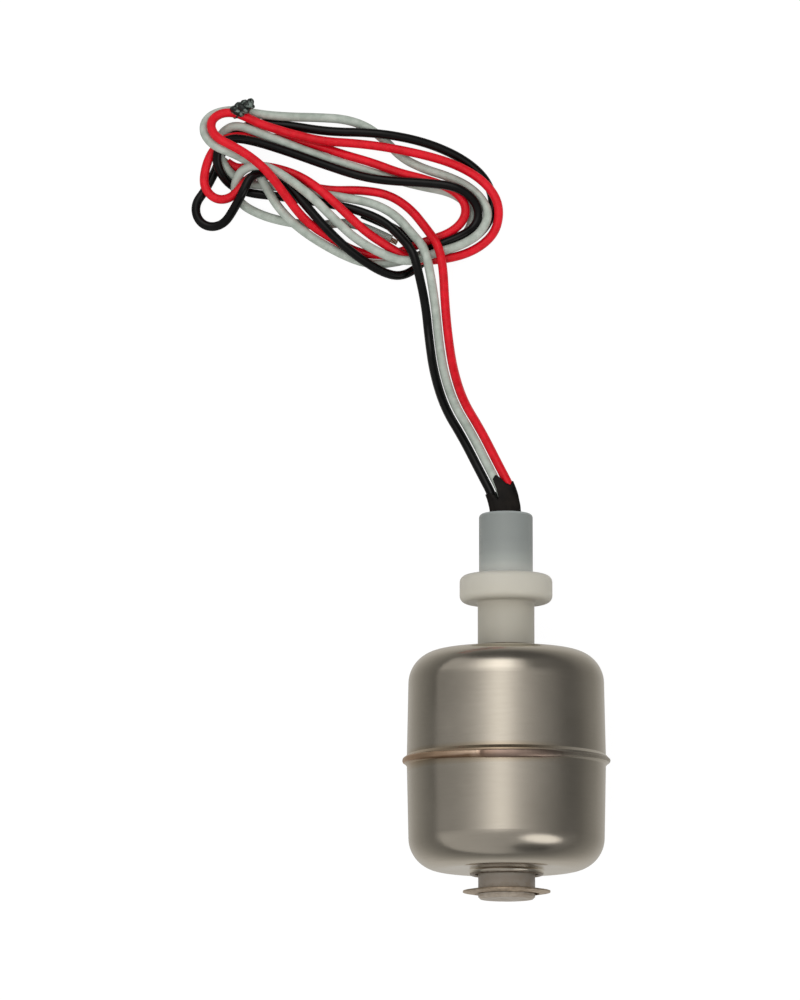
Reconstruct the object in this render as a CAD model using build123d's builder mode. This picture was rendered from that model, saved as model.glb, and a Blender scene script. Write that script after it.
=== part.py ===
from build123d import *
from math import cos, pi, radians, sin, tan
import os

# Float level switch, lying on its side. The stem's axis runs along +Y, leads towards +Y,
# and the float's seam ridge touches the ground plane z = 0. All sizes are millimetres.

os.makedirs("parts", exist_ok=True)

# Stem: tube below the flange, flange, spigot above it
stem_diameter = 8.0
stem_length = 41.9
flange_diameter = 13.1
flange_thickness = 3.9
flange_rounding = 1.0
spigot_diameter = 7.6
spigot_length = 8.8
spigot_rounding = 0.6
root_fillet = 0.4
tip_chamfer = 0.3
bore_diameter = 5.6
bore_floor = 4.0
bore_floor_rounding = 1.0
mouth_chamfer = 0.2

# Retaining clip and its groove
clip_land = 0.7
clip_thickness = 0.7
clip_diameter = 12.3
clip_mouth = 5.26
clip_relief_diameter = 9.2
clip_lobe_width = 1.8
clip_lobe_angle = 75.0
clip_prong_rounding = 0.5
clip_turn = -20.0
groove_diameter = 6.0
groove_clearance = 0.04
clip_seat_clearance = 0.02

# Float: two drawn shells, a bore tube and the beads that join them
float_diameter = 28.0
float_length = 31.0
float_corner = 4.6
float_draft = 1.2
shell_wall = 0.3
lip_height = 0.4
lip_edge = 0.3
lip_foot = 0.75
weld_height = 0.24
tube_clearance = 0.6
tube_wall = 0.3
collar_height = 0.45
collar_fillet = 0.36
bore_weld_height = 0.25
float_rest_gap = 1.9

# Ring magnet and the push-on washers that hold it
magnet_diameter = 15.0
magnet_length = 4.0
magnet_chamfer = 0.4
magnet_clearance = 0.05
washer_diameter = 12.6
washer_thickness = 0.3
washer_slot_width = 0.9
washer_slot_depth = 1.1
washer_slots = 6

# Changeover reed switch inside the stem
reed_station = 24.0
reed_drop = 0.95
capsule_diameter = 2.6
capsule_length = 14.0
capsule_wall = 0.25
capsule_seal = 1.6
capsule_rounding = 0.9
cavity_rounding = 0.5
blade_thickness = 0.16
blade_width = 0.8
blade_overlap = 1.5
contact_gap = 0.2
contact_spread = 0.72
contact_straight = 1.6
reed_lead_diameter = 0.44
reed_lead_length = 3.5
seal_entry = 0.3

# Leads: insulated diameter, conductor, and their places beside each other
lead_diameter = 1.3
core_diameter = 0.48
lead_spacing = 1.4
common_rise = 1.45
stripped_length = 1.6
core_bend = 0.8
tail_spread_start = 6.0
tail_spread_end = 12.0
joint_length = 2.0
joint_diameter = 1.05
corner_joint_diameter = 1.3
tail_end_depth = 1.0

# Potting plug and lead sleeve at the mouth
potting_length = 6.8
potting_recess = 0.8
sleeve_wall = 0.22
sleeve_depth = 2.6
sleeve_reach = 3.4

# Leads outside: each one's straight start, then its bends as places (x, distance past the mouth),
# and the share of the way from the ground to the axis that every bend still stands up
lead_straight = {"black": 1.7, "white": 2.0, "red": 2.3}
lead_bends = {
    "black": [(-3.6, 6.15), (-6.0, 11.35), (-8.55, 16.1), (-10.1, 21.7), (-10.8, 27.2), (-11.3, 32.1)],
    "white": [(-2.35, 6.75), (-4.75, 12.0), (-7.25, 16.65), (-8.75, 21.95), (-9.45, 27.35), (-9.9, 32.1)],
    "red": [(-1.1, 7.35), (-3.5, 12.6), (-5.95, 17.15), (-7.35, 22.25), (-8.05, 27.5), (-8.5, 32.1)],
}
lead_heights = (0.925, 0.755, 0.547, 0.311, 0.125, 0.0)

# Hank of leads, beyond the side at which the leads enter it, and the tie's twisted end
hank_distance = 36.9
hank_height = 4.4
hank_corner = 1.2
hank_opening_corner = 0.6
tie_place = (-37.6, 23.9)
tie_foot = 0.6
tie_length = 2.6
tie_diameter = 2.2

# Derived radii and places
axis_z = float_diameter / 2 + lip_height + weld_height
tip_y = -(stem_length + flange_thickness + spigot_length) / 2
mouth_y = -tip_y
stem_radius = stem_diameter / 2
spigot_radius = spigot_diameter / 2
bore_radius = bore_diameter / 2
groove_radius = groove_diameter / 2
groove_width = clip_thickness + groove_clearance
clip_y = tip_y + clip_land + groove_width / 2
tube_inner_radius = stem_radius + tube_clearance
tube_radius = tube_inner_radius + tube_wall
collar_radius = tube_radius + shell_wall
half_float = float_length / 2
half_tube = half_float + collar_height
seam_y = clip_y + clip_thickness / 2 + float_rest_gap + half_tube + bore_weld_height
lip_radius = float_diameter / 2 + lip_height
reed_y = tip_y + reed_station
reed_z = axis_z - reed_drop
lead_radius = lead_diameter / 2
core_radius = core_diameter / 2
reed_lead_radius = reed_lead_diameter / 2
lead_x = {"black": -lead_spacing, "white": 0.0, "red": lead_spacing}

stem_axis = Axis((0, 0, axis_z), (0, 1, 0))


def axial_plane(y, z=axis_z, x=0.0):
    """Sketch plane through an axis parallel to the stem: local x is the radius, local y runs along +Y."""
    return Plane(origin=(x, y, z), x_dir=(1, 0, 0), z_dir=(0, 0, 1))


def cross_plane(y, z=axis_z, x=0.0, turn=0.0):
    """Sketch plane across the stem: local x is +X turned towards +Z, and an extrusion runs towards -Y."""
    return Plane(origin=(x, y, z), x_dir=(cos(radians(turn)), 0, sin(radians(turn))), z_dir=(0, -1, 0))


def nearest(vertices, x, y):
    """The corner of a sketch nearest to local (x, y)."""
    return vertices.sort_by_distance((x, y, 0))[0]


def corner_radii(route):
    """The radius at each corner of a cord: 0.45 of the shorter run over the tangent of half the turn."""
    points = [Vector(*point) for point in route]
    radii = []
    for before, corner, after in zip(points, points[1:], points[2:]):
        run_in = corner - before
        run_out = after - corner
        half_turn = radians(run_in.get_angle(run_out) / 2)
        radii.append(0.45 * min(run_in.length, run_out.length) / tan(half_turn))
    return radii


def swept_round(route, radius, radii):
    """A round cord or wire along a route of straight runs joined by tangent arcs."""
    with BuildPart() as cord:
        with BuildLine() as path:
            FilletPolyline(*route, radius=radii)
        with BuildSketch(path.line ^ 0):
            Circle(radius)
        sweep()
    return cord.part


def save(part, name):
    part.label = name
    export_step(part, f"parts/{name}.step")


# Stem, flange and spigot in one moulding, bored blind from the mouth
stem_plane = axial_plane(tip_y)
flange_low = stem_length
flange_high = stem_length + flange_thickness
mouth = flange_high + spigot_length
with BuildPart() as stem_body:
    with BuildSketch(stem_plane) as stem_profile:
        with BuildLine():
            Polyline(
                (0, 0),
                (stem_radius, 0),
                (stem_radius, clip_land),
                (groove_radius, clip_land),
                (groove_radius, clip_land + groove_width),
                (stem_radius, clip_land + groove_width),
                (stem_radius, flange_low),
                (flange_diameter / 2, flange_low),
                (flange_diameter / 2, flange_high),
                (spigot_radius, flange_high),
                (spigot_radius, mouth),
                (bore_radius, mouth),
                (bore_radius, bore_floor),
                (0, bore_floor),
                close=True,
            )
        make_face()
        for x, y, size in (
            (flange_diameter / 2, flange_low, flange_rounding),
            (flange_diameter / 2, flange_high, flange_rounding),
            (stem_radius, flange_low, root_fillet),
            (spigot_radius, flange_high, root_fillet),
            (spigot_radius, mouth, spigot_rounding),
            (bore_radius, bore_floor, bore_floor_rounding),
        ):
            fillet(nearest(stem_profile.vertices(), x, y), size)
        chamfer(nearest(stem_profile.vertices(), stem_radius, 0), tip_chamfer)
        chamfer(nearest(stem_profile.vertices(), bore_radius, mouth), mouth_chamfer)
    revolve(axis=stem_axis)
save(stem_body.part, "stem_body")

# E-shaped retaining clip: a flat ring with a mouth, three lobes that bear on the groove, and reliefs
clip_plane = cross_plane(clip_y, turn=clip_turn)
with BuildPart() as retaining_clip:
    with BuildSketch(clip_plane) as clip_sketch:
        Circle(clip_diameter / 2)
        Circle(clip_relief_diameter / 2, mode=Mode.SUBTRACT)
        lobe_reach = (clip_diameter + clip_relief_diameter) / 4
        for angle in (90, clip_lobe_angle - 90, -clip_lobe_angle - 90):
            with Locations(Rotation(0, 0, angle)):
                Rectangle(lobe_reach, clip_lobe_width, align=(Align.MIN, Align.CENTER))
        Circle(groove_radius + clip_seat_clearance, mode=Mode.SUBTRACT)
        Rectangle(clip_mouth, clip_diameter, align=(Align.CENTER, Align.MAX), mode=Mode.SUBTRACT)
        for x in (-clip_mouth / 2, clip_mouth / 2):
            fillet(nearest(clip_sketch.vertices(), x, -clip_diameter / 2), clip_prong_rounding)
    extrude(amount=clip_thickness / 2, both=True)
save(retaining_clip.part, "retaining_clip")


# Float shells: a drawn cup with draft, a rounded corner, a collar at the bore and a flared seam lip
def float_shell(name, towards):
    """One cup of the float; towards is +1 for the half on the flange's side and -1 for the other."""
    plane = Plane(origin=(0, seam_y, axis_z), x_dir=(1, 0, 0), z_dir=(0, 0, towards))
    wall_radius = float_diameter / 2
    corner_radius = wall_radius - (half_float - lip_foot) * tan(radians(float_draft))
    with BuildPart() as shell:
        with BuildSketch(plane) as profile:
            with BuildLine():
                Polyline(
                    (lip_radius, 0),
                    (lip_radius, lip_edge),
                    (wall_radius, lip_foot),
                    (corner_radius, half_float),
                    (collar_radius, half_float),
                    (collar_radius, half_tube),
                    (tube_radius, half_tube),
                    (tube_radius, half_float - shell_wall),
                    (corner_radius - shell_wall, half_float - shell_wall),
                    (wall_radius - shell_wall, lip_foot),
                    (wall_radius - shell_wall, 0),
                    close=True,
                )
            make_face()
            for x, y, size in (
                (corner_radius, half_float, float_corner),
                (corner_radius - shell_wall, half_float - shell_wall, float_corner - shell_wall),
                (collar_radius, half_float, collar_fillet),
            ):
                fillet(nearest(profile.vertices(), x, y), size)
        revolve(axis=stem_axis)
    save(shell.part, name)


float_shell("float_upper_shell", 1)
float_shell("float_lower_shell", -1)

# Seam weld: a low bead round the edges of both lips
with BuildPart() as seam_weld:
    with BuildSketch(axial_plane(seam_y)):
        with BuildLine():
            ThreePointArc((lip_radius, -lip_edge), (lip_radius + weld_height, 0), (lip_radius, lip_edge))
            Line((lip_radius, lip_edge), (lip_radius, -lip_edge))
        make_face()
    revolve(axis=stem_axis)
save(seam_weld.part, "seam_weld")

# Bore tube that runs on the stem
with BuildPart() as float_bore_tube:
    with BuildSketch(cross_plane(seam_y)):
        Circle(tube_radius)
        Circle(tube_inner_radius, mode=Mode.SUBTRACT)
    extrude(amount=half_tube, both=True)
save(float_bore_tube.part, "float_bore_tube")


def bore_weld(name, towards):
    """The bead that joins the bore tube's end to a shell's collar."""
    plane = Plane(origin=(0, seam_y, axis_z), x_dir=(1, 0, 0), z_dir=(0, 0, towards))
    middle = (tube_inner_radius + collar_radius) / 2
    with BuildPart() as bead:
        with BuildSketch(plane):
            with BuildLine():
                ThreePointArc(
                    (tube_inner_radius, half_tube),
                    (middle, half_tube + bore_weld_height),
                    (collar_radius, half_tube),
                )
                Line((collar_radius, half_tube), (tube_inner_radius, half_tube))
            make_face()
        revolve(axis=stem_axis)
    save(bead.part, name)


bore_weld("upper_bore_weld", 1)
bore_weld("lower_bore_weld", -1)

# Ring magnet round the bore tube, level with the seam
with BuildPart() as float_magnet:
    with BuildSketch(cross_plane(seam_y)):
        Circle(magnet_diameter / 2)
        Circle(tube_radius + magnet_clearance, mode=Mode.SUBTRACT)
    extrude(amount=magnet_length / 2, both=True)
    outer_edges = float_magnet.edges().filter_by(GeomType.CIRCLE).sort_by(SortBy.RADIUS)[-2:]
    chamfer(outer_edges, magnet_chamfer)
save(float_magnet.part, "float_magnet")


def magnet_washer(name, towards):
    """Push-on washer with slots in its bore, against one face of the magnet."""
    plane = Plane(
        origin=(0, seam_y + towards * magnet_length / 2, axis_z),
        x_dir=(1, 0, 0),
        z_dir=(0, towards, 0),
    )
    with BuildPart() as washer:
        with BuildSketch(plane):
            Circle(washer_diameter / 2)
            Circle(tube_radius, mode=Mode.SUBTRACT)
            with PolarLocations(tube_radius, washer_slots):
                Rectangle(washer_slot_depth * 2, washer_slot_width, mode=Mode.SUBTRACT)
        extrude(amount=washer_thickness)
    save(washer.part, name)


magnet_washer("upper_magnet_washer", 1)
magnet_washer("lower_magnet_washer", -1)

# Reed switch: blades first, then the glass that is sealed round them
half_capsule = capsule_length / 2
half_cavity = half_capsule - capsule_seal
reed_axis = Axis((0, 0, reed_z), (0, 1, 0))
contact_x = {
    "reed_rest_contact": -blade_thickness,
    "reed_make_contact": blade_thickness + contact_gap,
}

with BuildPart() as common_blade:
    with BuildSketch(cross_plane(reed_y - half_cavity + seal_entry, reed_z)):
        Circle(reed_lead_radius)
    extrude(amount=seal_entry + capsule_seal + reed_lead_length)
    with BuildSketch(cross_plane(reed_y + blade_overlap, reed_z)):
        Rectangle(blade_thickness, blade_width)
    extrude(amount=half_cavity + blade_overlap)
save(common_blade.part, "reed_common_blade")


def contact(name, side):
    """A fixed contact: a flat blade beside the common blade that steps out to its own round lead."""
    lead_place = side * contact_spread
    with BuildPart() as blade:
        with BuildSketch(axial_plane(reed_y, reed_z)):
            with BuildLine() as bend:
                Polyline(
                    (contact_x[name], 0),
                    (contact_x[name], contact_straight),
                    (lead_place, half_cavity - contact_straight),
                    (lead_place, half_cavity),
                )
            trace(bend.line, line_width=blade_thickness)
        extrude(amount=blade_width / 2, both=True)
        lead_start = reed_y + half_capsule + reed_lead_length
        with BuildSketch(cross_plane(lead_start, reed_z, lead_place)):
            Circle(reed_lead_radius)
        extrude(amount=reed_lead_length + capsule_seal + seal_entry)
    save(blade.part, name)
    return blade.part


rest_contact = contact("reed_rest_contact", -1)
make_contact = contact("reed_make_contact", 1)

with BuildPart() as reed_glass:
    with BuildSketch(axial_plane(reed_y, reed_z)) as glass_profile:
        Rectangle(capsule_diameter / 2, capsule_length, align=(Align.MIN, Align.CENTER))
        for y in (-half_capsule, half_capsule):
            fillet(nearest(glass_profile.vertices(), capsule_diameter / 2, y), capsule_rounding)
        with BuildSketch(Plane.XY, mode=Mode.PRIVATE) as cavity_profile:
            cavity_radius = capsule_diameter / 2 - capsule_wall
            Rectangle(cavity_radius, half_cavity * 2, align=(Align.MIN, Align.CENTER))
            for y in (-half_cavity, half_cavity):
                fillet(nearest(cavity_profile.vertices(), cavity_radius, y), cavity_rounding)
        add(cavity_profile.sketch, mode=Mode.SUBTRACT)
    revolve(axis=reed_axis)
    add(common_blade.part, mode=Mode.SUBTRACT)
    add(rest_contact, mode=Mode.SUBTRACT)
    add(make_contact, mode=Mode.SUBTRACT)
save(reed_glass.part, "reed_glass")

# Conductors and insulated tails inside the stem, from the reed's leads to the mouth
tail_end_y = mouth_y - tail_end_depth
contact_joint_y = reed_y + half_capsule + reed_lead_length
contact_tail_y = contact_joint_y + stripped_length
common_joint_y = reed_y - half_capsule - reed_lead_length
common_tail_y = common_joint_y + joint_length + stripped_length
common_z = axis_z + common_rise


def contact_route(colour, side, start_y):
    place = side * contact_spread
    return [
        (place, start_y, reed_z),
        (place, contact_tail_y + tail_spread_start - stripped_length, reed_z),
        (lead_x[colour], contact_tail_y + tail_spread_end - stripped_length, axis_z),
        (lead_x[colour], tail_end_y, axis_z),
    ]


def common_route(start_y):
    return [
        (0, start_y, common_z),
        (0, contact_tail_y + tail_spread_start, common_z),
        (0, contact_tail_y + tail_spread_end - stripped_length, axis_z),
        (0, tail_end_y, axis_z),
    ]


def inner_lead(colour, tail_route, core_route, core_radii):
    """The insulated tail and, in one piece through it and past its stripped end, the conductor."""
    core = swept_round(core_route, core_radius, core_radii)
    tail_outline = swept_round(tail_route, lead_radius, corner_radii(tail_route))
    with BuildPart() as tail:
        add(tail_outline)
        add(core, mode=Mode.SUBTRACT)
    save(core, f"{colour}_core")
    save(tail.part, f"{colour}_tail")
    return core, tail_outline


leads_inside = {}
for colour, side in (("black", -1), ("red", 1)):
    tail_route = contact_route(colour, side, contact_tail_y)
    core_route = contact_route(colour, side, contact_joint_y)
    leads_inside[colour] = inner_lead(colour, tail_route, core_route, corner_radii(tail_route))

white_tail_route = common_route(common_tail_y)
core_drop_y = common_joint_y - core_radius
white_core_route = [(0, core_drop_y, reed_z), (0, core_drop_y, common_z)] + white_tail_route[1:]
white_core_radii = [core_bend] + corner_radii(white_tail_route)
leads_inside["white"] = inner_lead("white", white_tail_route, white_core_route, white_core_radii)

# Solder joints: a drop round each pair, bored for the reed's lead below and the conductor above
for colour, side in (("black", -1), ("red", 1)):
    joint_plane = axial_plane(contact_joint_y, reed_z, side * contact_spread)
    with BuildPart() as solder_joint:
        with BuildSketch(joint_plane):
            Ellipse(joint_diameter / 2, joint_length / 2)
            Rectangle(joint_diameter, joint_length, align=(Align.MAX, Align.CENTER), mode=Mode.SUBTRACT)
            Rectangle(reed_lead_radius, joint_length, align=(Align.MIN, Align.MAX), mode=Mode.SUBTRACT)
            Rectangle(core_radius, joint_length, align=(Align.MIN, Align.MIN), mode=Mode.SUBTRACT)
        revolve(axis=Axis(joint_plane.origin, (0, 1, 0)))
    save(solder_joint.part, f"solder_joint_{colour}")

with BuildPart() as corner_joint:
    with Locations((0, common_joint_y, reed_z)):
        Sphere(corner_joint_diameter / 2)
    add(common_blade.part, mode=Mode.SUBTRACT)
    add(leads_inside["white"][0], mode=Mode.SUBTRACT)
save(corner_joint.part, "solder_joint_white")


# Leads outside: side by side out of the mouth, down to the ground and on to the hank
def outside_route(colour):
    route = [
        (lead_x[colour], tail_end_y, axis_z),
        (lead_x[colour], mouth_y + lead_straight[colour], axis_z),
    ]
    for (x, distance), share in zip(lead_bends[colour], lead_heights):
        height = lead_radius + share * (axis_z - lead_radius)
        route.append((x, mouth_y + distance, height))
    route.append((x, mouth_y + hank_distance, height))
    return route


lead_routes = {}
leads_outside = {}
for colour in lead_bends:
    route = outside_route(colour)
    radii = corner_radii(route)
    lead = swept_round(route, lead_radius, radii)
    save(lead, f"{colour}_lead")
    lead_routes[colour] = route
    leads_outside[colour] = lead
    length = lead.volume / (pi * lead_radius**2)
    print(f"{colour}_lead radii {[round(radius, 1) for radius in radii]}, {length:.1f} long")

# Sleeve shrunk round the three leads, from inside the potting to just past the mouth
sleeve_width = 2 * lead_spacing + lead_diameter + 2 * sleeve_wall
sleeve_height = lead_diameter + 2 * sleeve_wall
sleeve_start_y = mouth_y - sleeve_depth
sleeve_route = [(0, sleeve_start_y, axis_z)] + lead_routes["white"][1:3]
with BuildPart() as sleeve_outline:
    with BuildLine():
        FilletPolyline(*sleeve_route, radius=corner_radii(lead_routes["white"])[0])
    with BuildSketch(Plane(origin=sleeve_route[0], x_dir=(1, 0, 0), z_dir=(0, 1, 0))):
        SlotOverall(sleeve_width, sleeve_height)
    sweep()
with BuildPart() as lead_sleeve:
    add(sleeve_outline.part)
    for colour in lead_routes:
        add(leads_inside[colour][1], mode=Mode.SUBTRACT)
        add(leads_outside[colour], mode=Mode.SUBTRACT)
    split(bisect_by=cross_plane(mouth_y + sleeve_reach), keep=Keep.TOP)
save(lead_sleeve.part, "lead_sleeve")

# Potting plug poured round the leads and the sleeve's lower end
with BuildPart() as potting_plug:
    with BuildSketch(cross_plane(mouth_y - potting_recess)):
        Circle(bore_radius)
    extrude(amount=potting_length)
    add(sleeve_outline.part, mode=Mode.SUBTRACT)
    for colour in lead_routes:
        add(leads_inside[colour][1], mode=Mode.SUBTRACT)
save(potting_plug.part, "potting_plug")

# Hank: the outer shape of the loosely wound rest of the leads, flat where the leads enter it
hank_plane = Plane(origin=(0, mouth_y + hank_distance, 0))
hank_outline = [
    (-14.5, 0),
    (-6.5, 0),
    (-1.0, 4.8),
    (-0.1, 9.9),
    (-5.2, 16.2),
    (-15.0, 22.1),
    (-28.0, 24.7),
    (-39.2, 23.1),
    (-43.2, 21.0),
    (-41.9, 12.7),
    (-44.8, 9.0),
    (-43.8, 5.9),
    (-37.1, 7.2),
    (-30.8, 4.8),
    (-22.9, 1.8),
]
hank_opening = [
    (-23.9, 14.2),
    (-15.7, 13.2),
    (-5.9, 11.5),
    (-7.0, 7.4),
    (-10.1, 5.4),
    (-13.2, 10.0),
    (-22.9, 12.3),
]
with BuildPart() as lead_hank:
    with BuildSketch(hank_plane) as hank_sketch:
        with BuildLine():
            Polyline(*hank_outline, close=True)
        make_face()
        fillet(hank_sketch.vertices(), hank_corner)
        with BuildSketch(mode=Mode.SUBTRACT) as opening_sketch:
            with BuildLine():
                Polyline(*hank_opening, close=True)
            make_face()
            fillet(opening_sketch.vertices(), hank_opening_corner)
    extrude(amount=hank_height)
save(lead_hank.part, "lead_hank")

# Twisted end of the tie that holds the hank
with BuildPart() as wire_tie:
    with BuildSketch(hank_plane.offset(tie_foot)):
        with Locations(tie_place):
            Circle(tie_diameter / 2)
    extrude(amount=tie_length)
    add(lead_hank.part, mode=Mode.SUBTRACT)
save(wire_tie.part, "wire_tie")

travel_down = float_rest_gap
travel_up = (tip_y + stem_length) - (seam_y + half_tube + bore_weld_height)
print(f"axis {axis_z:.3f}, mouth {mouth_y:.3f}, seam {seam_y:.3f}, float travel {-travel_down:.3f} to {travel_up:.3f}")
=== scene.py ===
from functools import cached_property
from math import cos, pi, radians, sin, tau

import bmesh
import bpy
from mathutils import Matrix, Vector, noise


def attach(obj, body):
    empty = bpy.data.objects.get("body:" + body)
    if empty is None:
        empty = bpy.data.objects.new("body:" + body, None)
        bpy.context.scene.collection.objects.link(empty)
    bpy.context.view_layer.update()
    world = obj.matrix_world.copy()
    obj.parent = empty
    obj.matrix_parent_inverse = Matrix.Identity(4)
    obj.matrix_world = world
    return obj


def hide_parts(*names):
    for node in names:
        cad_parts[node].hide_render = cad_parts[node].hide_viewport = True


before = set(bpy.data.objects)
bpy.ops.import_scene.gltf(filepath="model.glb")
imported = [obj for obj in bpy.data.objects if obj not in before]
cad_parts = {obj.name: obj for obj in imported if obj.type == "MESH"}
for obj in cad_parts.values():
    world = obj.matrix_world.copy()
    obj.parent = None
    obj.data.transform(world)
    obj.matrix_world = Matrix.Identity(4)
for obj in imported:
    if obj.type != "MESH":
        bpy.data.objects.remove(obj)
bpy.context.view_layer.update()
scene = bpy.context.scene
scene.view_settings.view_transform = "Standard"

# Sizes are written in millimetres and turned into metres by MM
MM = 0.001
AXIS_Z = 14.64
TIP_Y = -27.3
MOUTH_Y = 27.3
SEAM_Y = -7.78
LEAD = 1.3
LEAD_PITCH = 1.4

# The photograph's camera, nearly straight above the switch
CAMERA_ELEVATION = radians(81.5)
CAMERA_DISTANCE = 1.0
CAMERA_TARGET = Vector((-14.96, 29.3, AXIS_Z)) * MM
FOCAL_PIXELS = 7072
HALF_PICTURE_PIXELS = 500
SENSOR_HEIGHT = 24


def link(obj):
    scene.collection.objects.link(obj)
    return obj


def between(stops, at):
    """The value at a place on a line through (place, value) stops."""
    for (low, first), (high, second) in zip(stops, stops[1:]):
        if at <= high:
            return first + (second - first) * (at - low) / (high - low)
    return stops[-1][1]


# Camera
camera = link(bpy.data.objects.new("camera", bpy.data.cameras.new("camera")))
offset = Vector((0, -cos(CAMERA_ELEVATION), sin(CAMERA_ELEVATION)))
camera.location = CAMERA_TARGET + CAMERA_DISTANCE * offset
camera.rotation_euler = (pi / 2 - CAMERA_ELEVATION, 0, 0)
camera.data.sensor_fit = "VERTICAL"
camera.data.sensor_height = SENSOR_HEIGHT
camera.data.lens = SENSOR_HEIGHT / 2 / (HALF_PICTURE_PIXELS / FOCAL_PIXELS)
camera.data.clip_start = 0.01
camera.data.clip_end = 20
scene.camera = camera


# Materials
def rgba(value):
    """A colour with its alpha, from three numbers or from one grey."""
    return (*value, 1) if hasattr(value, "__len__") else (value, value, value, 1)


class Nodes:
    """A node tree with short ways to add nodes."""

    def __init__(self, tree):
        self.tree = tree

    @cached_property
    def place(self):
        return self.add("ShaderNodeTexCoord").outputs["Object"]

    def add(self, kind, **values):
        node = self.tree.nodes.new(kind)
        for key, value in values.items():
            setattr(node, key, value)
        return node

    def join(self, source, target):
        self.tree.links.new(source, target)

    def feed(self, socket, value):
        """Give a socket another node's output, or a value of its own."""
        if hasattr(value, "node"):
            self.join(value, socket)
        elif socket.type == "RGBA":
            socket.default_value = rgba(value)
        else:
            socket.default_value = value

    def shade(self, kind, **values):
        node = self.add(kind)
        for key, value in values.items():
            self.feed(node.inputs[key], value)
        return node.outputs[0]

    def noise(self, scale, detail=4.0, stretch=None):
        node = self.add("ShaderNodeTexNoise")
        node.inputs["Scale"].default_value = scale
        node.inputs["Detail"].default_value = detail
        node.inputs["Roughness"].default_value = 0.55
        place = self.place
        if stretch:
            mapping = self.add("ShaderNodeMapping")
            mapping.inputs["Scale"].default_value = stretch
            self.join(place, mapping.inputs["Vector"])
            place = mapping.outputs["Vector"]
        self.join(place, node.inputs["Vector"])
        return node.outputs["Fac"]

    def ramp(self, value, stops):
        node = self.add("ShaderNodeValToRGB")
        elements = node.color_ramp.elements
        while len(elements) < len(stops):
            elements.new(1.0)
        for element, (place, level) in zip(elements, stops):
            element.position = place
            element.color = rgba(level)
        self.join(value, node.inputs["Fac"])
        return node.outputs["Color"]

    def span(self, value, low, high, to=(0.0, 1.0), smooth=False):
        node = self.add("ShaderNodeMapRange")
        if smooth:
            node.interpolation_type = "SMOOTHSTEP"
        self.join(value, node.inputs["Value"])
        node.inputs["From Min"].default_value = low
        node.inputs["From Max"].default_value = high
        node.inputs["To Min"].default_value, node.inputs["To Max"].default_value = to
        return node.outputs["Result"]

    def maths(self, kind, *values):
        node = self.add("ShaderNodeMath", operation=kind)
        for socket, value in zip(node.inputs, values):
            self.feed(socket, value)
        return node.outputs["Value"]

    def shifted(self, value, by, amount):
        """A value that a noise shifts by up to half the amount either way."""
        return self.maths("ADD", value, self.maths("MULTIPLY", self.maths("SUBTRACT", by, 0.5), amount))

    def mix(self, factor, first, second, blend="MIX"):
        node = self.add("ShaderNodeMix", data_type="RGBA", blend_type=blend)
        for socket, value in ((node.inputs[0], factor), (node.inputs[6], first), (node.inputs[7], second)):
            self.feed(socket, value)
        return node.outputs[2]

    def axes(self, place=None):
        node = self.add("ShaderNodeSeparateXYZ")
        self.join(place or self.place, node.inputs["Vector"])
        return node.outputs


class Surface(Nodes):
    """A new material of the object, with its Principled shader."""

    def __init__(self, name):
        self.material = bpy.data.materials.new(name)
        self.material.use_nodes = True
        super().__init__(self.material.node_tree)
        self.shader = self.tree.nodes["Principled BSDF"]

    def set(self, **values):
        for key, value in values.items():
            self.feed(self.shader.inputs[key.replace("_", " ")], value)

    def bump(self, height, strength, distance):
        node = self.add("ShaderNodeBump")
        node.inputs["Strength"].default_value = strength
        node.inputs["Distance"].default_value = distance
        self.join(height, node.inputs["Height"])
        self.join(node.outputs["Normal"], self.shader.inputs["Normal"])


def insulation(name, dark, light, roughness, gloss=0.3):
    n = Surface(name)
    streaks = n.noise(900, 3)
    cloud = n.noise(160, 3)
    tone = n.mix(0.5, streaks, cloud)
    n.set(
        Base_Color=n.ramp(tone, ((0.38, dark), (0.62, light))),
        Roughness=n.ramp(cloud, ((0.35, roughness - 0.06), (0.65, roughness + 0.08))),
        Specular_IOR_Level=gloss,
    )
    n.bump(streaks, 0.12, 0.08 * MM)
    return n.material


def metal(name, dark, light, roughness, grain=2500.0, bump=0.1):
    n = Surface(name)
    fine = n.noise(grain)
    cloud = n.noise(180, 3)
    n.set(
        Base_Color=n.ramp(n.mix(0.5, fine, cloud), ((0.36, dark), (0.64, light))),
        Metallic=1.0,
        Roughness=n.ramp(cloud, ((0.3, roughness - 0.05), (0.7, roughness + 0.07))),
    )
    n.bump(fine, bump, 0.05 * MM)
    return n.material


def resin(name, dark, light, roughness):
    n = Surface(name)
    n.set(Base_Color=n.ramp(n.noise(500), ((0.35, dark), (0.65, light))), Roughness=roughness)
    n.bump(n.noise(1500, 3), 0.2, 0.1 * MM)
    return n.material


def speckled(name, dark, light):
    n = Surface(name)
    specks = n.noise(1800, 3)
    n.set(Base_Color=n.ramp(specks, ((0.5, dark), (0.62, light))), Roughness=0.35)
    n.bump(specks, 0.3, 0.1 * MM)
    return n.material


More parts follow.
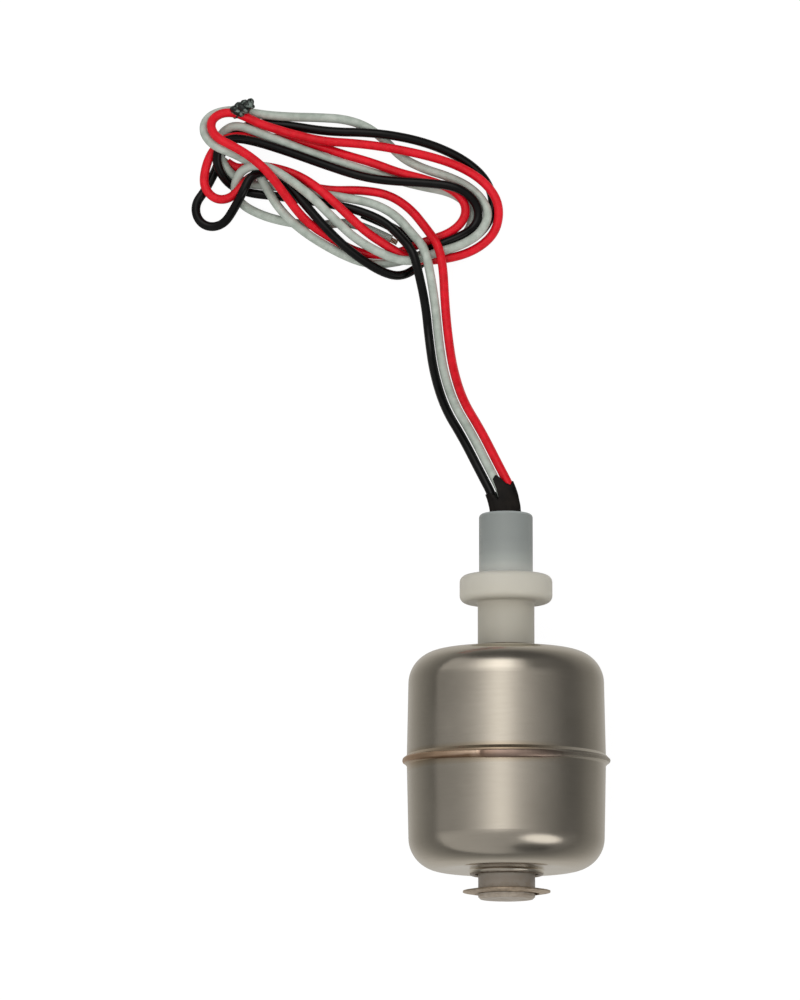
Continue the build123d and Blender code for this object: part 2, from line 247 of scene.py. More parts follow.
# Drawn stainless steel: faint turning lines, smudges, and heat tint that fades away from the seam
def float_steel():
    tint_middle = SEAM_Y - 0.2
    tint_near, tint_far = 0.6, 1.6
    tinted_until, clean_from = 3.0, 9.0
    n = Surface("float_steel")
    axes = n.axes()
    lines = n.noise(1.0, 4, (300, 9000, 300))
    smudge = n.noise(110, 5)
    steel = ((0.3, (0.62, 0.575, 0.49)), (0.7, (0.72, 0.67, 0.58)))
    clean = n.ramp(n.mix(0.35, smudge, lines), steel)
    from_seam = n.maths("ABSOLUTE", n.maths("SUBTRACT", axes["Y"], tint_middle * MM))
    tint = n.ramp(
        n.span(n.shifted(from_seam, smudge, 0.6 * MM), tint_near * MM, tint_far * MM),
        ((0.0, (0.80, 0.68, 0.56)), (0.4, (0.92, 0.85, 0.76)), (1.0, (1, 1, 1))),
    )
    right = n.span(n.shifted(axes["X"], smudge, 6 * MM), tinted_until * MM, clean_from * MM)
    n.set(
        Base_Color=n.mix(1.0, clean, n.mix(right, tint, 1.0), "MULTIPLY"),
        Metallic=1.0,
        Roughness=n.ramp(smudge, ((0.3, 0.17), (0.7, 0.27))),
    )
    n.bump(lines, 0.06, 0.04 * MM)
    return n.material


# Weld bead: heat-tinted brown on the left, a pinkish painted highlight in front, nearly clean on the right,
# and a painted shade along its lower edge on the left
def weld_bead():
    reach = 15.0
    edge_start, edge_full = -8.05, -8.35
    edge_right, edge_left = -3.0, -5.5
    n = Surface("weld")
    axes = n.axes()
    patches = n.noise(420)
    tone = n.ramp(
        n.shifted(n.span(axes["X"], -reach * MM, reach * MM), patches, 0.12),
        (
            (0.0, (0.62, 0.42, 0.27)),
            # The two lighter stops paint a pinkish highlight on the bead
            (0.2, (0.78, 0.56, 0.39)),
            (0.345, (0.88, 0.68, 0.52)),
            (0.38, (0.34, 0.235, 0.18)),
            (0.46, (0.43, 0.315, 0.26)),
            (0.66, (0.38, 0.29, 0.24)),
            (0.74, (0.36, 0.30, 0.25)),
            (0.82, (0.60, 0.555, 0.475)),
        ),
    )
    # Painted shade: the bead turns dark brown along its lower edge on the left
    ragged = n.maths("ADD", axes["Y"], n.maths("MULTIPLY", patches, 0.2 * MM))
    low = n.span(ragged, edge_start * MM, edge_full * MM)
    lower_edge_shade = n.maths("MULTIPLY", low, n.span(axes["X"], edge_right * MM, edge_left * MM))
    n.set(
        Base_Color=n.mix(n.maths("MULTIPLY", lower_edge_shade, 0.8), tone, (0.16, 0.075, 0.03)),
        Metallic=1.0,
        Roughness=n.ramp(patches, ((0.3, 0.30), (0.7, 0.42))),
    )
    n.bump(n.noise(1.0, 3, (1400, 400, 1400)), 0.4, 0.15 * MM)
    return n.material


# Natural moulded plastic: greyer where the dark potting shows through the spigot, stained at the tip, with
# a painted shade in a dark band where the stem leaves the float's bore and a painted highlight along the
# mouth's rim
def stem_plastic():
    n = Surface("stem_plastic")
    along = n.span(n.axes()["Y"], TIP_Y * MM, MOUTH_Y * MM)
    cloud = n.noise(140, 3)
    mottle = n.noise(900)
    tones_with_painted_light = (
        (-27.3, (0.45, 0.39, 0.32)),
        (-25.9, (0.40, 0.35, 0.29)),
        # Painted shade: a dark band where the stem leaves the float's bore
        (-24.6, (0.29, 0.25, 0.21)),
        (-22.5, (0.46, 0.43, 0.36)),
        (12.0, (0.47, 0.445, 0.375)),
        (14.4, (0.49, 0.46, 0.385)),
        (15.0, (0.59, 0.56, 0.475)),
        (18.2, (0.59, 0.565, 0.49)),
        (18.7, (0.53, 0.54, 0.505)),
        (19.6, (0.45, 0.465, 0.43)),
        (20.3, (0.375, 0.395, 0.37)),
        (21.7, (0.30, 0.32, 0.302)),
        (23.2, (0.268, 0.288, 0.274)),
        (26.9, (0.262, 0.283, 0.270)),
        # Painted highlight: a light line along the mouth's rim
        (27.15, (0.40, 0.44, 0.43)),
    )
    tone = n.ramp(along, [((y - TIP_Y) / (MOUTH_Y - TIP_Y), level) for y, level in tones_with_painted_light])
    stain = n.maths("MULTIPLY", n.span(along, 0.08, 0.03), n.span(mottle, 0.42, 0.6))
    tone = n.mix(n.maths("MULTIPLY", stain, 0.5), tone, (0.27, 0.21, 0.15))
    n.set(
        Base_Color=n.mix(0.25, tone, n.ramp(cloud, ((0.3, 0.82), (0.7, 1.0))), "MULTIPLY"),
        Roughness=n.ramp(cloud, ((0.3, 0.36), (0.7, 0.48))),
        Subsurface_Weight=0.15,
        Subsurface_Radius=(0.6, 0.55, 0.45),
        Subsurface_Scale=1.2 * MM,
    )
    n.bump(n.noise(1.0, 3, (500, 2500, 500)), 0.06, 0.06 * MM)
    return n.material


def clear_glass():
    n = Surface("reed_glass")
    n.set(
        Base_Color=n.ramp(n.noise(600, 2), ((0.3, (0.80, 0.92, 0.86)), (0.7, (0.88, 0.96, 0.92)))),
        Roughness=0.06,
        Transmission_Weight=0.85,
        IOR=1.48,
    )
    return n.material


materials = {
    "white": insulation("white_insulation", (0.36, 0.41, 0.355), (0.52, 0.565, 0.505), 0.36),
    "black": insulation("black_insulation", (0.0012, 0.0012, 0.0013), (0.004, 0.004, 0.0043), 0.2, 0.26),
    "red": insulation("red_insulation", (0.60, 0.002, 0.010), (0.82, 0.005, 0.020), 0.28),
    "sleeve": insulation("sleeve", (0.003, 0.0026, 0.0022), (0.011, 0.0085, 0.0065), 0.42, 0.14),
    "tie": speckled("tie", (0.008, 0.012, 0.010), (0.20, 0.25, 0.22)),
    "float": float_steel(),
    "weld": weld_bead(),
    "stem": stem_plastic(),
    "clip": metal("clip_steel", (0.34, 0.26, 0.18), (0.74, 0.62, 0.48), 0.40, grain=1500.0, bump=0.4),
    "bore_weld": metal("bore_weld", (0.22, 0.18, 0.15), (0.42, 0.37, 0.31), 0.35, bump=0.3),
    "reed_metal": metal("reed_metal", (0.55, 0.53, 0.49), (0.68, 0.66, 0.61), 0.25),
    "solder": metal("solder", (0.55, 0.55, 0.56), (0.72, 0.72, 0.72), 0.28),
    "copper": metal("copper", (0.72, 0.50, 0.36), (0.86, 0.68, 0.54), 0.3),
    "potting": resin("potting", (0.012, 0.011, 0.010), (0.04, 0.037, 0.033), 0.3),
    "ferrite": resin("ferrite", (0.03, 0.03, 0.032), (0.07, 0.07, 0.075), 0.55),
    "glass": clear_glass(),
}
cad_materials = {
    "float": ("float_upper_shell", "float_lower_shell", "float_bore_tube"),
    "weld": ("seam_weld",),
    "bore_weld": ("upper_bore_weld", "lower_bore_weld"),
    "stem": ("stem_body",),
    "clip": ("retaining_clip", "upper_magnet_washer", "lower_magnet_washer"),
    "reed_metal": ("reed_common_blade", "reed_rest_contact", "reed_make_contact"),
    "solder": ("solder_joint_white", "solder_joint_black", "solder_joint_red"),
    "copper": ("white_core", "black_core", "red_core"),
    "potting": ("potting_plug",),
    "ferrite": ("float_magnet",),
    "glass": ("reed_glass",),
    "white": ("white_tail",),
    "black": ("black_tail",),
    "red": ("red_tail",),
}
for look, nodes in cad_materials.items():
    for node in nodes:
        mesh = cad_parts[node].data
        mesh.materials.clear()
        mesh.materials.append(materials[look])


# Leads: each wire's own line from the potting through the sleeve and the hank, in millimetres
wires = {
    "black": [
        (-1.4, 26.3, 14.64), (-1.4, 29, 14.64), (-3.6, 33.45, 13.59), (-6, 38.65, 11.21),
        (-8.55, 43.4, 8.3), (-10.1, 49, 5), (-10.8, 54.5, 2.4), (-11.3, 59.4, 3.53), (-12.53, 64.82, 4.96),
        (-13.25, 67.1, 4.79), (-15.1, 69.48, 3.48), (-17.41, 71.83, 2.55), (-21.17, 73.49, 1.84),
        (-24.35, 74.38, 0.96), (-28.53, 75.15, 0.65), (-32.86, 75.74, 0.65), (-36.76, 76.14, 0.65),
        (-39.65, 77.32, 0.7), (-41.42, 79.64, 3.01), (-41.22, 82.25, 3.97), (-39.5, 83.72, 3.62),
        (-36.33, 83.54, 2.71), (-30.84, 81.88, 2.11), (-26.07, 80.19, 1.82), (-21.01, 78.46, 1.87),
        (-16.98, 77.68, 2.23), (-11.08, 77.24, 2.9), (-7.18, 76.7, 3.29), (-4.86, 75.46, 2.81),
        (-3.5, 73.39, 2.22), (-3.98, 71.01, 2.15), (-6.35, 69.31, 3), (-9.94, 67.94, 3.04),
        (-12.04, 65.52, 0.65), (-14.67, 63.83, 0.99), (-17.41, 64.27, 1.69), (-21.3, 66.63, 2.32),
        (-24.88, 69.8, 2.61), (-28.49, 73.96, 2.53), (-31.11, 77.13, 2.51), (-33.95, 78.96, 3.12),
        (-36.41, 78.23, 3.86), (-37.53, 75.7, 4.24), (-38.89, 73.35, 2.87), (-40.22, 71.57, 1.66),
        (-41.92, 71.07, 0.95), (-43.5, 71.58, 0.66), (-44.43, 73, 0.65), (-44.39, 74.79, 0.65),
        (-43.11, 76.49, 0.65), (-41.51, 79.6, 0.65), (-40.6, 82.48, 0.65), (-39.2, 85.15, 0.65),
        (-35.77, 86.56, 0.65), (-31.29, 86.18, 0.65), (-25.35, 85.06, 1.24), (-19, 84.81, 2.02),
        (-13.8, 84.08, 1.67), (-9.48, 82.9, 1.06), (-5.44, 80.92, 0.73), (-2.55, 78.29, 0.65),
        (-1.4, 75.1, 0.65), (-1.98, 71.91, 0.81), (-4.29, 69.29, 1.31), (-7.7, 67.86, 1.96),
        (-10.6, 68.24, 1.56), (-13.22, 69.33, 0.75), (-15.39, 70.76, 0.65), (-17.7, 71.94, 0.65),
        (-20.42, 73.1, 0.65),
    ],
    "white": [
        (0, 26.3, 14.64), (0, 29.3, 14.64), (-2.35, 34.05, 13.59), (-4.75, 39.3, 11.21),
        (-7.25, 43.95, 8.3), (-8.75, 49.25, 5), (-9.45, 54.65, 2.4), (-9.9, 59.4, 3.42),
        (-10.8, 64.76, 4.76), (-11.53, 67.47, 4.97), (-13.09, 69.55, 3.49), (-15.54, 72.63, 2.41),
        (-19, 74.59, 1.79), (-23.91, 75.49, 1.51), (-28.55, 76.24, 1.52), (-32.88, 77.12, 0.96),
        (-36.63, 77.44, 0.65), (-39.08, 78.57, 0.93), (-40.77, 80.54, 2.11), (-41.43, 83.09, 1.44),
        (-40.55, 85.14, 1.42), (-38.5, 86, 2.06), (-34.85, 84.59, 2.16), (-28.94, 82.36, 1.45),
        (-24.48, 80.87, 0.95), (-19.87, 79.49, 0.65), (-16.12, 78.29, 0.65), (-12.08, 77.2, 0.65),
        (-7.46, 76.32, 0.65), (-4.86, 74.29, 0.65), (-4.43, 71.64, 0.65), (-6.28, 69.14, 0.65),
        (-10.31, 67.69, 0.65), (-14.98, 66.05, 0.65), (-19.61, 65.59, 0.74), (-24.49, 67.58, 1.27),
        (-29.36, 70.58, 1.87), (-32.54, 73.77, 2.03), (-34.54, 77.27, 2.07), (-35.98, 79.95, 2.53),
        (-38.6, 81.13, 4.43), (-42.11, 82.32, 5.24), (-43.52, 85.04, 3.53), (-42.42, 87.39, 2.36),
        (-39.08, 88.32, 1.7), (-34.89, 87.51, 1.48), (-30.84, 87.26, 1.2), (-26.81, 87.27, 0.8),
        (-22.77, 87.05, 0.65), (-19.58, 85.9, 0.65), (-16.99, 83.81, 0.65), (-14.67, 81.3, 0.65),
        (-11.5, 79.71, 0.65), (-8.04, 78.64, 0.7), (-4.87, 77.03, 0.97), (-2.71, 74.68, 1.47),
        (-2.16, 72.34, 2.22), (-3.49, 69.72, 2.86), (-6.28, 67.93, 3.34), (-9.75, 66.9, 3.66),
        (-13.8, 65.39, 3.74), (-17.41, 66.7, 3), (-21.29, 69.01, 2.6), (-24.46, 72.01, 2.64),
        (-27.77, 75.3, 3.12), (-31.36, 77.97, 3.89), (-34.84, 79.71, 4.59), (-37.72, 79.14, 3.69),
        (-38.97, 77.07, 1.95), (-38.21, 74.58, 1.24), (-34.87, 72.82, 0.76), (-30.83, 71.8, 0.65),
        (-26.79, 71.36, 0.65), (-22.89, 71.94, 0.65), (-19.57, 71.01, 0.65), (-16.26, 69.34, 0.65),
    ],
    "red": [
        (1.4, 26.3, 14.64), (1.4, 29.6, 14.64), (-1.1, 34.65, 13.59), (-3.5, 39.9, 11.21),
        (-5.95, 44.45, 8.3), (-7.35, 49.55, 5), (-8.05, 54.8, 2.4), (-8.5, 59.4, 3.26),
        (-8.77, 64.76, 4.47), (-9.48, 67.77, 5.03), (-11.07, 70.32, 3.49), (-13.52, 73.69, 2.2),
        (-16.69, 75.9, 1.31), (-20.59, 76.61, 0.8), (-25.34, 76.52, 0.65), (-29.37, 77.51, 0.65),
        (-32.85, 78.45, 0.65), (-35.09, 78.95, 0.65), (-36.65, 78.3, 1.83), (-37.57, 77.02, 3),
        (-38.41, 75.85, 3.02), (-39.6, 75.01, 2.57), (-41.07, 74.89, 2.09), (-42.38, 75.63, 1.92),
        (-43.26, 77.1, 1.96), (-43.12, 79.16, 2.15), (-42.3, 81.51, 2.85), (-40.16, 84.16, 2.58),
        (-35.65, 84.5, 0.65), (-30.85, 84.08, 0.65), (-26.79, 83.15, 0.65), (-23.03, 81.8, 0.75),
        (-18.99, 80.58, 1.11), (-15.1, 78.98, 1.54), (-11.49, 78.08, 1.66), (-7.74, 76.76, 1.89),
        (-5.44, 74.54, 1.99), (-5.59, 72.02, 2.01), (-7.8, 69.9, 2.37), (-11.42, 68.68, 2.78),
        (-15.64, 67.04, 1.05), (-20.39, 67.13, 0.65), (-24.47, 69.18, 1.02), (-28.52, 71.65, 2.17),
        (-31.39, 75.16, 3.72), (-34, 78.46, 5.51), (-36.59, 80.64, 5.84), (-39.18, 82.18, 5.78),
        (-41.29, 83.24, 5.79), (-42.23, 84.85, 4.84), (-42.03, 86.41, 3.86), (-40.63, 87.48, 3.22),
        (-38.59, 87.53, 2.84), (-36.56, 86.66, 2.66), (-34.82, 85.81, 2.58), (-30.8, 84.59, 2.37),
        (-26.05, 83.46, 2.23), (-21.44, 83.21, 2.13), (-16.69, 82.62, 2.03), (-11.07, 81.45, 1.93),
        (-6.9, 80.13, 1.87), (-3.44, 78.15, 1.91), (-1.14, 75.55, 1.95), (-0.57, 72.81, 1.69),
        (-1.43, 69.81, 1.66), (-4.31, 67.4, 1.98), (-8.34, 66.06, 2.66), (-13.15, 65.87, 2.45),
        (-16.72, 67.97, 2.63), (-19.85, 70.1, 2.45), (-23.02, 73.1, 2.61), (-26.18, 76.12, 2.84),
        (-29.65, 78.59, 2.14), (-33.4, 79.86, 1.53), (-36.32, 80.14, 1.06), (-37.94, 79.8, 0.65),
        (-39.2, 80.15, 0.65), (-39.92, 80.73, 0.65),
    ],
}


def wire(name, points):
    curve = bpy.data.curves.new(name, "CURVE")
    curve.dimensions = "3D"
    spline = curve.splines.new("NURBS")
    spline.points.add(len(points) - 1)
    for point, place in zip(spline.points, points):
        point.co = (*(Vector(place) * MM), 1)
    spline.order_u = 3
    spline.use_endpoint_u = True
    curve.resolution_u = 10
    curve.bevel_depth = LEAD / 2 * MM
    curve.bevel_resolution = 5
    curve.use_fill_caps = True
    return link(bpy.data.objects.new(name, curve))


# Mesh pieces
def solid(name, bm, look, body="stem"):
    bmesh.ops.recalc_face_normals(bm, faces=bm.faces)
    mesh = bpy.data.meshes.new(name)
    bm.to_mesh(mesh)
    bm.free()
    mesh.shade_smooth()
    mesh.materials.append(materials[look])
    obj = link(bpy.data.objects.new(name, mesh))
    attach(obj, body)
    return obj


def bridge(bm, low, high):
    """Faces between two closed rings with the same number of points."""
    for k in range(len(low)):
        after = (k + 1) % len(low)
        bm.faces.new((low[k], low[after], high[after], high[k]))


def tube(bm, line, radii, sides):
    """A round strand along a list of points, closed at both ends."""
    rings = []
    normal = (line[1] - line[0]).normalized().orthogonal().normalized()
    for i, (place, radius) in enumerate(zip(line, radii)):
        ahead = (line[min(i + 1, len(line) - 1)] - line[max(i - 1, 0)]).normalized()
        normal = (normal - ahead * normal.dot(ahead)).normalized()
        side = ahead.cross(normal)
        ring = []
        for k in range(sides):
            a = tau * k / sides
            ring.append(bm.verts.new(place + radius * (cos(a) * normal + sin(a) * side)))
        rings.append(ring)
    for low, high in zip(rings, rings[1:]):
        bridge(bm, low, high)
    bm.faces.new(rings[0][::-1])
    bm.faces.new(rings[-1])


# Shrunk sleeve round the three leads: it follows the white lead and is torn to a ragged tongue at its top
def ragged_sleeve():
    around, along, bend_steps = 120, 30, 20
    foot_y, straight_y = 24.7, 25.5
    wall = 0.12
    half = LEAD / 2 + 0.16
    back_top = 6.5
    front_top = (
        (-1.0, 6.3), (-0.6, 5.9), (-0.38, 4.75), (-0.3, 4.8), (-0.16, 7.9),
        (0.14, 8.25), (0.3, 7.7), (0.45, 6.7), (0.7, 6.2), (1.0, 6.6),
    )
    knots = [Vector(p) for p in wires["white"][:4]]
    middles = [knots[0], (knots[1] + knots[2]) / 2, (knots[2] + knots[3]) / 2]
    line = [Vector((0, foot_y, AXIS_Z)), Vector((0, straight_y, AXIS_Z))]
    for k in (0, 1):
        for i in range(bend_steps + 1):
            t = i / bend_steps
            line.append((1 - t) ** 2 * middles[k] + 2 * t * (1 - t) * knots[k + 1] + t * t * middles[k + 1])
    reach = [0.0]
    for low, high in zip(line, line[1:]):
        reach.append(reach[-1] + (high - low).length)

    def at(s):
        k = max(i for i in range(len(line) - 1) if reach[i] <= s or i == 0)
        while k < len(line) - 2 and reach[k + 1] - reach[k] < 1e-6:
            k += 1
        step = max(reach[k + 1] - reach[k], 1e-6)
        ahead = (line[min(k + 2, len(line) - 1)] - line[max(k - 1, 0)]).normalized()
        return line[k].lerp(line[k + 1], (s - reach[k]) / step), ahead

    def top(across, up):
        return back_top + 0.15 * sin(9 * across) if up < 0 else between(front_top, across)

    bm = bmesh.new()
    outer, inner = [], []
    for j in range(along + 1):
        outer_ring, inner_ring = [], []
        for k in range(around):
            a = tau * k / around
            across = abs(cos(a)) ** 0.8 * (1 if cos(a) > 0 else -1)
            up = abs(sin(a)) ** 0.6 * (1 if sin(a) > 0 else -1)
            s = j / along * (top(across, up) + 0.1 * noise.noise(Vector((20 * across, up, 1))))
            centre, ahead = at(s)
            side = ahead.cross(Vector((0, 0, 1))).normalized()
            over = side.cross(ahead)
            wave = 0.05 * noise.noise(Vector((4 * across, 0.9 * s, 3 * up)))
            for ring, inset in ((outer_ring, 0.0), (inner_ring, wall)):
                high = half - inset + wave
                wide = LEAD_PITCH + high
                ring.append(bm.verts.new((centre + side * across * wide + over * up * high) * MM))
        outer.append(outer_ring)
        inner.append(inner_ring)
    for rings in (outer, inner):
        for low, high in zip(rings, rings[1:]):
            bridge(bm, low, high)
    bridge(bm, outer[0], inner[0])
    bridge(bm, outer[-1], inner[-1])
    return solid("ragged_sleeve", bm, "sleeve")


# Hand-run weld bead over the two lips, with ripples and a start notch left of the front
def weld_ring():
    around, profile = 360, 10
    lip, foot, foot_share = 14.36, 14.1, 0.8
    front_drop = 0.48
    half_widths = (
        (-180, 0.34), (-100, 0.30), (-75, 0.42), (-50, 0.48), (-18, 0.52),
        (-12, 0.57), (20, 0.57), (34, 0.34), (50, 0.28), (180, 0.34),
    )
    heights = (
        (-180, 0.28), (-92, 0.28), (-70, 0.26), (-17, 0.26), (-15.5, 0.10), (-14, 0.28),
        (-8, 0.25), (22, 0.24), (40, 0.10), (78, 0.10), (88, 0.28), (180, 0.28),
    )
    bm = bmesh.new()
    rings = []
    for k in range(around):
        angle = -180 + 360 * k / around
        a = radians(angle)
        ripple = 0.03 * noise.noise(Vector((angle / 1.6, 2, 0)))
        ripple += 0.02 * noise.noise(Vector((angle / 6, 5, 0)))
        width = between(half_widths, angle) + ripple
        height = between(heights, angle) - abs(ripple)
        middle = SEAM_Y - front_drop * max(0.0, cos(a)) ** 1.5
        section = []
        for i in range(profile + 1):
            turn = pi * i / profile
            section.append((cos(turn), lip + height * sin(turn) ** 0.8))
        section += [(-foot_share, foot), (foot_share, foot)]
        rings.append([
            bm.verts.new(Vector((r * sin(a), middle + width * share, AXIS_Z + r * cos(a))) * MM)
            for share, r in section
        ])
    for low, high in zip(rings, rings[1:] + rings[:1]):
        bridge(bm, low, high)
    return solid("weld_ring", bm, "weld", "float")


# Retaining clip with its stamped rim rounded down to a thin edge
def worn_clip():
    full_until, rim_width, rim_loss = 4.7, 1.4, 0.72
    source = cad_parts["retaining_clip"]
    mesh = source.data.copy()
    mesh.transform(source.matrix_world)
    middle = sum(v.co.y for v in mesh.vertices) / len(mesh.vertices)
    for vertex in mesh.vertices:
        reach = Vector((vertex.co.x, vertex.co.z - AXIS_Z * MM)).length / MM
        thin = 1 - rim_loss * max(0.0, min(1.0, (reach - full_until) / rim_width))
        vertex.co.y = middle + (vertex.co.y - middle) * thin
    mesh.materials.clear()
    mesh.materials.append(materials["clip"])
    obj = link(bpy.data.objects.new("worn_clip", mesh))
    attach(obj, "stem")
    return obj


# Bare strands at a lead's cut end: six round one, splayed a little
def bare_end(colour, points):
    outer_strands, steps = 6, 8
    strand_radius, ring_radius = 0.115, 0.24
    inside, length, twist, splay = 0.5, 1.5, 1.2, 0.25
    last, before = Vector(points[-1]), Vector(points[-2])
    ahead = (last - before).normalized()
    side = ahead.orthogonal().normalized()
    over = ahead.cross(side)
    bm = bmesh.new()
    for k in range(outer_strands + 1):
        ring = 0.0 if k == outer_strands else ring_radius
        line = []
        for i in range(steps + 1):
            t = i / steps
            a = tau * k / outer_strands + twist * t
            spread = (side * cos(a) + over * sin(a)) * ring * (1 + splay * t)
            line.append((last + ahead * (length * t - inside) + spread) * MM)
        tube(bm, line, [strand_radius * MM] * len(line), 8)
    return solid(f"{colour}_bare_end", bm, "copper")


# Twisted end of the tie: two strands wound round each other
def twisted_tie():
    foot, tip = Vector((-38.9, 87.5, 3.1)), Vector((-36.3, 88.6, 4.2))
    turns, steps = 1.6, 60
    across, up = Vector((-0.36, 0.86, 0)), Vector((0, 0, 1))
    bm = bmesh.new()
    for phase in (0.0, pi):
        line, radii = [], []
        for i in range(steps + 1):
            t = i / steps
            a = phase + tau * turns * t
            swell = 0.34 + 0.28 * sin(pi * min(1.0, t * 1.1))
            line.append((foot.lerp(tip, t) + swell * (cos(a) * across + sin(a) * up)) * MM)
            radii.append((0.62 - 0.14 * t + 0.07 * sin(11 * t + phase)) * MM)
        tube(bm, line, radii, 10)
    return solid("twisted_tie", bm, "tie")


# Floor, studio tent that only reflections show, world and soft lamps
def stage_piece(name, bm, build):
    mesh = bpy.data.meshes.new(name)
    bm.to_mesh(mesh)
    bm.free()
    material = bpy.data.materials.new(name)
    material.use_nodes = True
    n = Nodes(material.node_tree)
    n.tree.nodes.clear()
    n.join(build(n), n.add("ShaderNodeOutputMaterial").inputs["Surface"])
    mesh.materials.append(material)
    piece = link(bpy.data.objects.new(name, mesh))
    return piece


# White to the camera; in reflections a paper with a painted pool of light round the float, a glow that
# fades with distance
def floor_look(n):
    pool_y, pool_half_length, pool_reach = -7.8, 15.0, 220.0
    lead_side, clip_side = 0.3, 0.6
    camera_share, glow_strength, camera_white = 0.85, 1.02, 1.08
    warmth = (1.0, 0.97, 0.92)
    levels = (
        (0.0, 0.56), (0.08, 0.52), (0.13, 0.37), (0.19, 0.27), (0.28, 0.22), (0.42, 0.18), (1.0, 0.13),
    )
    rays = n.add("ShaderNodeLightPath").outputs
    axes = n.axes()
    past = n.maths("ABSOLUTE", n.maths("SUBTRACT", axes["Y"], pool_y * MM))
    past = n.maths("SUBTRACT", past, pool_half_length * MM)
    side = n.maths("MULTIPLY", n.maths("LESS_THAN", axes["Y"], 0.0), clip_side - lead_side)
    past = n.maths("MULTIPLY", n.maths("MAXIMUM", past, 0.0), n.maths("ADD", lead_side, side))
    away = n.maths("SQRT", n.maths("ADD", n.maths("POWER", axes["X"], 2.0), n.maths("POWER", past, 2.0)))
    # Painted light: the pool's glow, brightest near the float
    painted_light_pool = n.ramp(
        n.maths("DIVIDE", away, pool_reach * MM),
        [(reach, [level * part for part in warmth]) for reach, level in levels],
    )
    mirrored = n.maths("MAXIMUM", rays["Is Glossy Ray"], rays["Is Transmission Ray"])
    share = n.maths("MAXIMUM", n.maths("MULTIPLY", rays["Is Camera Ray"], camera_share), mirrored)
    tone = n.mix(rays["Is Camera Ray"], painted_light_pool, camera_white)
    glow = n.shade("ShaderNodeEmission", Color=tone, Strength=glow_strength)
    mix = n.add("ShaderNodeMixShader")
    for socket, value in zip(mix.inputs, (share, n.shade("ShaderNodeBsdfDiffuse", Color=0.8), glow)):
        n.join(value, socket)
    return mix.outputs[0]


# The tent's glow follows the direction: left to right over the float, and from its clip end to its leads
def tent_glow(n):
    unit = n.add("ShaderNodeVectorMath", operation="NORMALIZE")
    n.join(n.place, unit.inputs[0])
    axes = n.axes(unit.outputs[0])
    left_right = n.maths("MULTIPLY", n.maths("ARCTAN2", axes["X"], axes["Z"]), 180 / pi)
    fore_aft = n.maths("MULTIPLY", n.maths("ARCSINE", axes["Y"]), 180 / pi)
    around = n.span(left_right, -180.0, 180.0)

    def strip(*stops):
        return n.ramp(around, [((angle + 180) / 360, level) for angle, level in stops])

    def square(value, middle, half):
        share = n.maths("DIVIDE", n.maths("SUBTRACT", value, middle), half)
        return n.maths("POWER", n.maths("ABSOLUTE", share), 2.0)

    def patch(across, along, half_across, half_along):
        out = n.maths("ADD", square(left_right, across, half_across), square(fore_aft, along, half_along))
        return n.span(out, 1.15, 0.75, smooth=True)

    overhead = strip(
        (-110, 0.24), (-93, 0.27), (-80, 0.245), (-69, 0.26), (-58, 0.29), (-47, 0.35), (-37, 0.45),
        (-28, 0.61), (-18, 0.86), (-9, 1.04), (0, 0.92), (10, 0.62), (19, 0.45), (28, 0.36), (38, 0.28),
        (48, 0.225), (58, 0.175), (69, 0.125), (81, 0.11), (94, 0.13),
    )
    clip_end = strip(
        (-110, 0.46), (-90, 0.42), (-40, 0.38), (-8, 0.34), (25, 0.30), (50, 0.17), (75, 0.14), (95, 0.18),
    )
    lead_end = strip(
        (-110, 0.5), (-90, 0.42), (-62, 0.40), (-48, 0.52), (-38, 0.75), (-26, 1.15), (-17, 1.45),
        (1, 1.45), (9, 1.0), (18, 0.52), (32, 0.15), (90, 0.10),
    )
    horizon, window, dark_below = 0.09, 1.1, 0.07
    glow = n.mix(n.span(fore_aft, 3.0, -8.0, smooth=True), overhead, clip_end)
    glow = n.mix(n.span(fore_aft, 13.0, 26.0, smooth=True), glow, lead_end)
    glow = n.mix(n.span(fore_aft, 48.0, 61.0, smooth=True), glow, horizon)
    glow = n.mix(patch(44, -27, 27, 14), glow, window)
    glow = n.mix(patch(44, -60, 34, 17), glow, dark_below)
    return n.shade("ShaderNodeEmission", Color=n.mix(1.0, glow, (1.03, 1.0, 0.97), "MULTIPLY"))


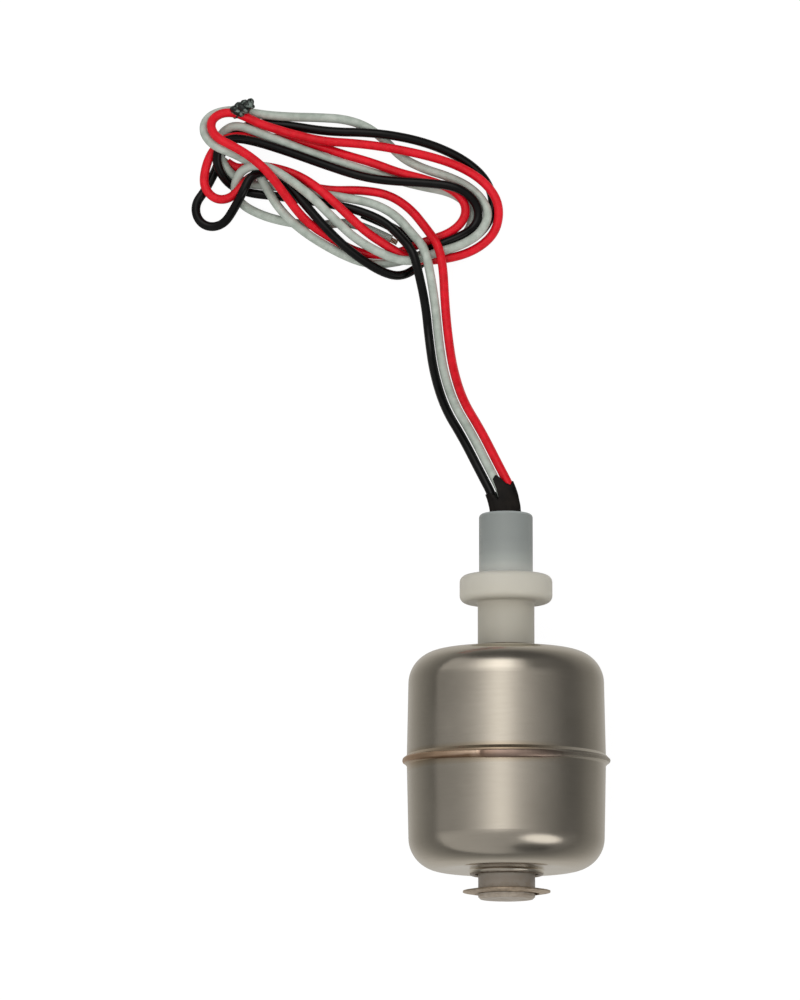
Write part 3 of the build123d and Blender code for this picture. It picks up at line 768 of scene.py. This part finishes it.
def floor_sheet():
    half, z = 3.0, -0.02 * MM
    bm = bmesh.new()
    bm.faces.new([bm.verts.new((x * half, y * half, z)) for x, y in ((-1, -1), (1, -1), (1, 1), (-1, 1))])
    stage_piece("floor", bm, floor_look)


def reflection_tent():
    bm = bmesh.new()
    bmesh.ops.create_icosphere(bm, subdivisions=4, radius=2.0)
    tent = stage_piece("tent", bm, tent_glow)
    tent.visible_camera = False
    tent.visible_diffuse = False
    tent.visible_shadow = False
    tent.visible_transmission = False


# Full white where a camera, glossy or transmission ray sees it, and softer as a light
def studio_world():
    as_light, as_seen = 0.55, 1.0
    world = bpy.data.worlds.new("studio")
    world.use_nodes = True
    n = Nodes(world.node_tree)
    rays = n.add("ShaderNodeLightPath").outputs
    mirrored = n.maths("MAXIMUM", rays["Is Glossy Ray"], rays["Is Transmission Ray"])
    seen = n.maths("MAXIMUM", rays["Is Camera Ray"], mirrored)
    background = n.tree.nodes["Background"]
    background.inputs["Color"].default_value = rgba(1.0)
    n.join(n.span(seen, 0.0, 1.0, (as_light, as_seen)), background.inputs["Strength"])
    scene.world = world


def lamp(name, place, power):
    data = bpy.data.lights.new(name, "AREA")
    data.shape = "DISK"
    data.size = 1.2
    data.energy = power
    obj = link(bpy.data.objects.new(name, data))
    obj.location = place
    obj.rotation_euler = (-Vector(place)).to_track_quat("-Z", "Y").to_euler()
    obj.visible_glossy = False


floor_sheet()
reflection_tent()
studio_world()
lamp("key", (-0.5, -0.3, 1.5), 9.0)
lamp("fill", (0.9, 0.5, 1.2), 4.0)

sleeve = ragged_sleeve()
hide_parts("lead_sleeve")
tie = twisted_tie()
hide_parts("wire_tie")

bead = weld_ring()
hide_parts("seam_weld")
clip = worn_clip()
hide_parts("retaining_clip")

for colour, points in wires.items():
    lead = wire(f"{colour}_wire", points)
    lead.data.materials.append(materials[colour])
    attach(lead, "stem")
    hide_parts(f"{colour}_lead", "lead_hank")
    strands = bare_end(colour, points)
    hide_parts(f"{colour}_lead")
